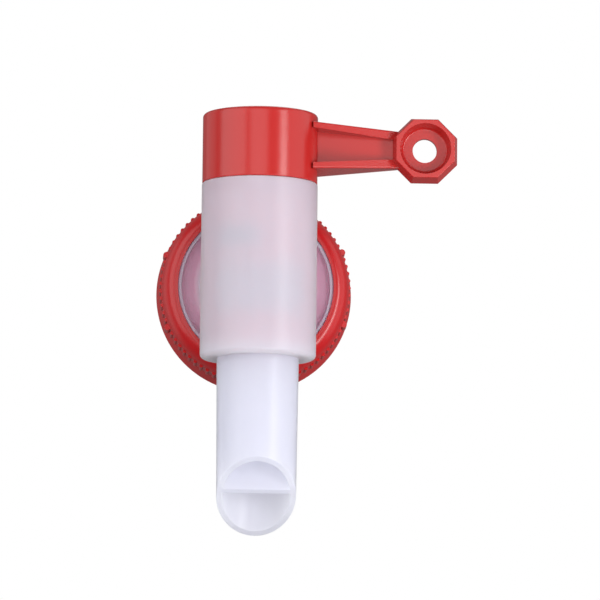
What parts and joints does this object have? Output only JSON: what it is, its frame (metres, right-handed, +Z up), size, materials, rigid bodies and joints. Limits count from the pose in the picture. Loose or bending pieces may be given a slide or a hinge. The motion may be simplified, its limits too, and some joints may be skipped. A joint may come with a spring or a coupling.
{
  "type": "canister tap",
  "caption": "Self-venting canister tap: milky barrel with a slanted spout, red turning key with a lever, and a ribbed red screw nut on a short flanged neck.",
  "frame": {"origin": "centre of the canister's sealing face, on the union nut's axis, where the thread bore starts", "axes": "+Z up along the barrel, +Y into the canister along the nut's axis, +X where the lever points while the tap is shut"},
  "size_m": [0.1026, 0.075, 0.1448],
  "materials": {
    "natural_polyethylene": "milky, half see-through, as moulded",
    "red_polypropylene": "satin, as moulded",
    "red_polyethylene": "satin, as moulded",
    "red_silicone_rubber": "matt, as moulded"
  },
  "bodies": {
    "body": {"tap_body": "natural_polyethylene", "flange_gasket": "red_silicone_rubber"},
    "key": {"tap_key": "red_polypropylene"},
    "nut": {"union_nut": "red_polyethylene"}
  },
  "joints": [
    {"name": "key_turn", "type": "hinge", "parent": "body", "child": "key", "pos_m": [0, -0.037, 0], "axis": [0, 0, 1], "range_deg": [-180, 0]},
    {"name": "nut_turn", "type": "hinge", "parent": "body", "child": "nut", "pos_m": [0, 0, 0], "axis": [0, 1, 0], "continuous": true}
  ]
}
